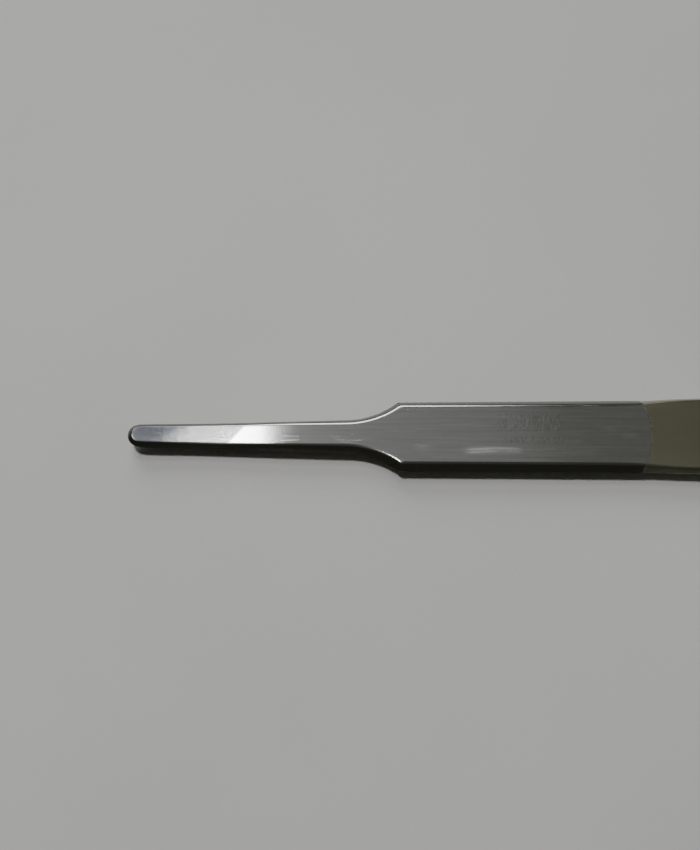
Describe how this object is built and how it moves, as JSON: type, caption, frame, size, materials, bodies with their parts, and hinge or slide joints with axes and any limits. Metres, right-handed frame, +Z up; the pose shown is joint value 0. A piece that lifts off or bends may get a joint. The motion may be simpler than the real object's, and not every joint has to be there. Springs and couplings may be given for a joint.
{
  "type": "dental elevator",
  "caption": "Straight dental elevator: a hollow-ground blade on a slim neck, swept shoulders, a flat block and a flat hollow handle, lying face up.",
  "frame": {"origin": "on the surface the elevator lies on, below the middle of its length and width", "axes": "+X from the blade's tip to the butt of the handle, +Y across it, +Z up, the way the hollow face of the blade looks"},
  "size_m": [0.16, 0.0132, 0.0048],
  "materials": {
    "forged_steel": "ground and lengthwise brushed martensitic stainless steel, worn, with fine scratches",
    "skin_steel": "satin stainless steel sheet, warmer and finer than the forging",
    "weld_steel": "weld metal ground flush",
    "silver_braze": "silver braze, dressed flush",
    "core_steel": "machined stainless steel"
  },
  "bodies": {
    "root": {"working_end": "forged_steel", "handle_shell_upper": "skin_steel", "handle_shell_lower": "skin_steel", "seam_weld": "weld_steel", "mouth_braze": "silver_braze", "tang_bridge": "core_steel", "tang_pins": "core_steel", "vent_plug": "core_steel"}
  },
  "joints": []
}
